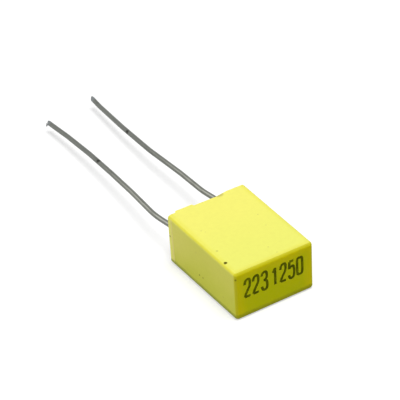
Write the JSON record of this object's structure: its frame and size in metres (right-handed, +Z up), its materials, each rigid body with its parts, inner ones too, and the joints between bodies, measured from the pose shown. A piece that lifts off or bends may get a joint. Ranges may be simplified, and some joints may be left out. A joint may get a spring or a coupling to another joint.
{
  "type": "box film capacitor",
  "caption": "Small box film capacitor lying on a broad side, its moulded case sealed with resin at the open end, with long, gently bent wire leads cut to unequal lengths.",
  "frame": {"origin": "midway between the leads, level with the tips of the stand-off feet", "axes": "+Y along the leads, away from the case; +X across the leads, towards the longer one; +Z up, out of the broad side that faces up as the part lies"},
  "size_m": [0.0072, 0.0352, 0.0046],
  "materials": {
    "case": "satin moulded thermoplastic polyester, lemon yellow",
    "resin": "cured potting resin, dull yellow, with a slight sheen",
    "film": "wound metallised polyester film, silvery",
    "end_spray": "rough sprayed zinc",
    "lead": "dull tinned wire with drawing marks"
  },
  "bodies": {
    "root": {"case": "case", "resin_fill": "resin", "film_roll": "film", "end_spray_left": "end_spray", "end_spray_right": "end_spray", "lead_left": "lead", "lead_right": "lead"}
  },
  "joints": []
}
